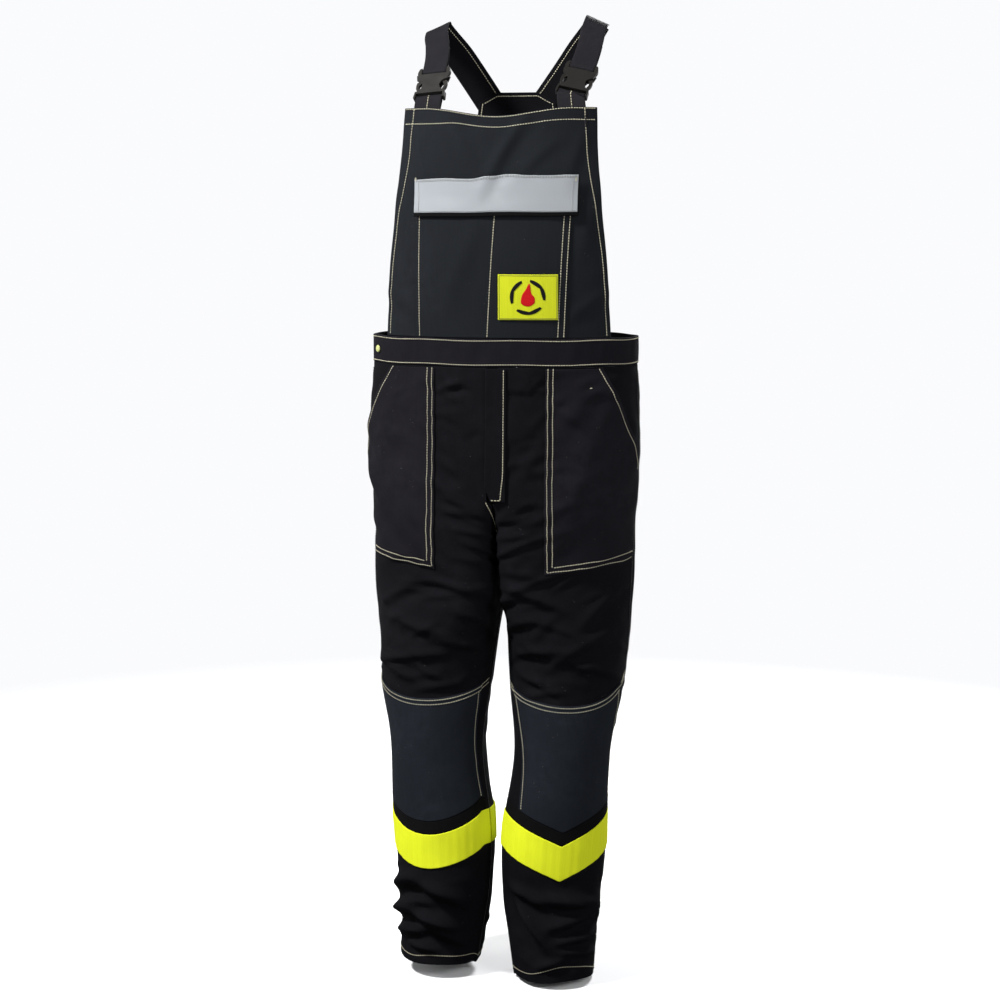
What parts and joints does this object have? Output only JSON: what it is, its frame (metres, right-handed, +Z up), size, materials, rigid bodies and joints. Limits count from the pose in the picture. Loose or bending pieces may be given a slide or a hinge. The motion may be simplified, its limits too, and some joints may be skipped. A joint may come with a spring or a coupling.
{
  "type": "bunker pants",
  "caption": "Black bib-and-brace work trousers with a flap chest pocket, hip pockets, knee patches, yellow chevron leg bands and shoulder straps on side-release buckles.",
  "frame": {"origin": "middle of the bounding box, on its lowest plane (the left hem)", "axes": "+Z up; the front of the garment faces -Y; +X is the wearer's left"},
  "size_m": [0.4452, 0.2696, 1.5669],
  "materials": {
    "black_cloth": "heavy black twill, matt",
    "bib_cloth": "heavy blue-black twill, matt",
    "knee_cloth": "smoother coated cloth over the knee, matt",
    "yellow_cloth": "fluorescent yellow woven tape",
    "reflective_tape": "grey retroreflective fabric tape, satin",
    "webbing": "flat woven polyamide webbing",
    "buckle_plastic": "moulded black acetal",
    "badge_cloth": "printed fluorescent yellow badge",
    "zip_tape": "fine woven zip tape",
    "touch_tape": "hook and loop tape",
    "zip_metal": "dull brass",
    "button_metal": "dull painted brass"
  },
  "bodies": {
    "garment": {"front_leg_left": "black_cloth", "back_leg_left": "black_cloth", "black_strip_left": "black_cloth", "hem_facing_left": "black_cloth", "hip_pocket_left": "black_cloth", "back_pocket_left": "black_cloth", "back_strap_left": "black_cloth", "yellow_band_front_left": "yellow_cloth", "yellow_band_back_left": "yellow_cloth", "knee_patch_left": "knee_cloth", "strap_tab_left": "webbing", "strap_webbing_left": "webbing", "buckle_female_left": "buckle_plastic", "zip_tape_left": "zip_tape", "front_leg_right": "black_cloth", "back_leg_right": "black_cloth", "black_strip_right": "black_cloth", "hem_facing_right": "black_cloth", "hip_pocket_right": "black_cloth", "back_pocket_right": "black_cloth", "back_strap_right": "black_cloth", "yellow_band_front_right": "yellow_cloth", "yellow_band_back_right": "yellow_cloth", "knee_patch_right": "knee_cloth", "strap_tab_right": "webbing", "strap_webbing_right": "webbing", "buckle_female_right": "buckle_plastic", "zip_tape_right": "zip_tape", "front_waistband": "black_cloth", "back_waistband": "black_cloth", "fly_shield": "black_cloth", "back_panel": "black_cloth", "front_bib": "bib_cloth", "bib_top_facing": "bib_cloth", "chest_pocket": "bib_cloth", "pocket_loop_tape": "touch_tape", "chest_badge": "badge_cloth", "zip_chain": "zip_metal", "zip_bottom_stop": "zip_metal", "waist_button": "button_metal"},
    "buckle_male_half_left": {"buckle_male_left": "buckle_plastic", "strap_loop_left": "webbing"},
    "prong_outer_left": {"buckle_prong_outer_left": "buckle_plastic"},
    "prong_inner_left": {"buckle_prong_inner_left": "buckle_plastic"},
    "buckle_male_half_right": {"buckle_male_right": "buckle_plastic", "strap_loop_right": "webbing"},
    "prong_outer_right": {"buckle_prong_outer_right": "buckle_plastic"},
    "prong_inner_right": {"buckle_prong_inner_right": "buckle_plastic"},
    "chest_flap": {"chest_flap": "bib_cloth", "flap_reflective_tape": "reflective_tape", "flap_hook_tape": "touch_tape"},
    "fly_placket": {"fly_placket": "black_cloth"},
    "zip_slider": {"zip_slider": "zip_metal"},
    "zip_pull": {"zip_pull": "zip_metal"}
  },
  "joints": [
    {"name": "left_buckle_release", "type": "slide", "parent": "garment", "child": "buckle_male_half_left", "axis": [0.2067, 0.6419, 0.7384], "range_m": [0, 0.035]},
    {"name": "left_outer_prong_squeeze", "type": "hinge", "parent": "buckle_male_half_left", "child": "prong_outer_left", "pos_m": [0.1401, -0.00927, 1.46539], "axis": [-0.0965, 0.7644, -0.6375], "range_deg": [0, 7], "stiffness_Nm_per_rad": 0.05},
    {"name": "left_inner_prong_squeeze", "type": "hinge", "parent": "buckle_male_half_left", "child": "prong_inner_left", "pos_m": [0.10661, -0.00719, 1.47295], "axis": [0.0965, -0.7644, 0.6375], "range_deg": [0, 7], "stiffness_Nm_per_rad": 0.05},
    {"name": "right_buckle_release", "type": "slide", "parent": "garment", "child": "buckle_male_half_right", "axis": [0.0259, 0.6558, 0.7545], "range_m": [0, 0.035]},
    {"name": "right_outer_prong_squeeze", "type": "hinge", "parent": "buckle_male_half_right", "child": "prong_outer_right", "pos_m": [-0.12995, -0.00815, 1.46353], "axis": [-0.1577, -0.7426, 0.6509], "range_deg": [0, 7], "stiffness_Nm_per_rad": 0.05},
    {"name": "right_inner_prong_squeeze", "type": "hinge", "parent": "buckle_male_half_right", "child": "prong_inner_right", "pos_m": [-0.096, -0.01283, 1.46642], "axis": [0.1577, 0.7426, -0.6509], "range_deg": [0, 7], "stiffness_Nm_per_rad": 0.05},
    {"name": "chest_flap_lift", "type": "hinge", "parent": "garment", "child": "chest_flap", "pos_m": [0, -0.10894, 1.30714], "axis": [-1, 0, 0], "range_deg": [0, 150]},
    {"name": "fly_placket_fold", "type": "hinge", "parent": "garment", "child": "fly_placket", "pos_m": [0.022, -0.1185, 0.7952], "axis": [0, 0.0421, 0.9991], "range_deg": [0, 70]},
    {"name": "zip_slide", "type": "slide", "parent": "garment", "child": "zip_slider", "axis": [0, -0.0432, -0.9991], "range_m": [0, 0.16]},
    {"name": "zip_pull_swing", "type": "hinge", "parent": "zip_slider", "child": "zip_pull", "pos_m": [0, -0.10741, 0.99305], "axis": [-1, 0, 0], "range_deg": [0, 6]}
  ]
}
